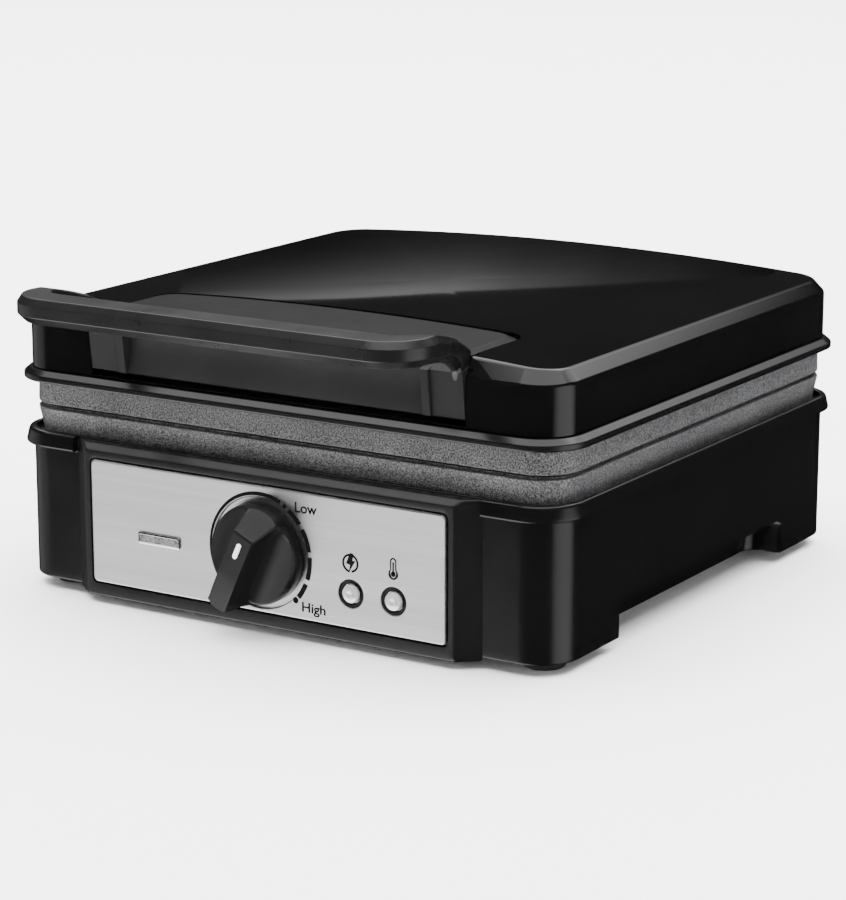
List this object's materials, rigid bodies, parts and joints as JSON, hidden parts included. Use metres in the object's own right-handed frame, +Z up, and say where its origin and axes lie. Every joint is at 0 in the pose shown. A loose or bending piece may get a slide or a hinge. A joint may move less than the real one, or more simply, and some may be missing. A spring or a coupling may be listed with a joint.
{
  "type": "waffle maker",
  "caption": "Electric waffle maker with square baking plates, a hinged gloss lid with a bridge handle, and a front panel with a dial and lamps.",
  "frame": {"origin": "bottom centre of the bounding box of the closed machine, on the surface that its feet stand on", "axes": "+Z up, +X to the right as seen from the front, and the control panel faces -Y"},
  "size_m": [0.2776, 0.3258, 0.1407],
  "materials": {
    "housing_plastic": "satin black moulded plastic",
    "cover_plastic": "matt black moulded plastic",
    "foot_rubber": "matt black rubber",
    "bezel_plastic": "matt black moulded plastic",
    "faceplate_steel": "brushed along its length, polished edges",
    "badge_metal": "polished",
    "lamp_plastic": "matt black",
    "lens_clear": "clear, polished dome",
    "neon_glass": "tinted glass",
    "ceramic": "cream ceramic and steel",
    "brass": "turned",
    "screw_steel": "zinc plated",
    "pin_steel": "ground steel",
    "gland_plastic": "matt black",
    "plate_coating": "dark grey metallic non-stick coating on cast aluminium",
    "heater_metal": "dark heater sheath",
    "reflector_sheet": "bright sheet",
    "hinge_plastic": "matt black moulded plastic",
    "knob_plastic": "satin black",
    "index_paint": "white pad print",
    "lid_gloss": "high gloss black",
    "handle_plastic": "satin black",
    "insert_plastic": "matt black"
  },
  "bodies": {
    "base": {"base_housing": "housing_plastic", "bottom_cover": "cover_plastic", "rubber_feet": "foot_rubber", "cover_screws": "screw_steel", "front_bezel": "bezel_plastic", "steel_faceplate": "faceplate_steel", "blank_badge": "badge_metal", "lamp_holders": "lamp_plastic", "power_lens": "lens_clear", "ready_lens": "lens_clear", "neon_lamps": "neon_glass", "thermostat_body": "ceramic", "thermostat_nut": "brass", "terminal_block": "ceramic", "thermal_fuse": "pin_steel", "cord_gland": "gland_plastic", "lower_plate": "plate_coating", "lower_plate_screws": "screw_steel", "lower_heater": "heater_metal", "lower_reflector": "reflector_sheet", "hinge_bracket_left": "hinge_plastic", "hinge_bracket_right": "hinge_plastic", "bracket_screws": "screw_steel", "hinge_pin_left": "pin_steel", "hinge_pin_right": "pin_steel"},
    "dial": {"thermostat_shaft": "pin_steel", "knob": "knob_plastic", "knob_index": "index_paint"},
    "lid": {"lid_shell": "lid_gloss", "lid_rim": "lid_gloss", "lid_screws": "screw_steel", "upper_plate": "plate_coating", "upper_plate_screws": "screw_steel", "upper_heater": "heater_metal", "upper_reflector": "reflector_sheet", "lid_knuckle_left": "hinge_plastic", "lid_knuckle_right": "hinge_plastic", "knuckle_screws": "screw_steel", "handle_plate": "insert_plastic", "handle_scoop": "insert_plastic", "handle": "handle_plastic", "handle_screws": "screw_steel"}
  },
  "joints": [
    {"name": "lid_hinge", "type": "hinge", "parent": "base", "child": "lid", "pos_m": [0, 0.15635, 0.084], "axis": [-1, 0, 0], "range_deg": [0, 100]},
    {"name": "dial_turn", "type": "hinge", "parent": "base", "child": "dial", "pos_m": [-0.0012, -0.11735, 0.0353], "axis": [0, 1, 0], "range_deg": [-159, 111]}
  ]
}
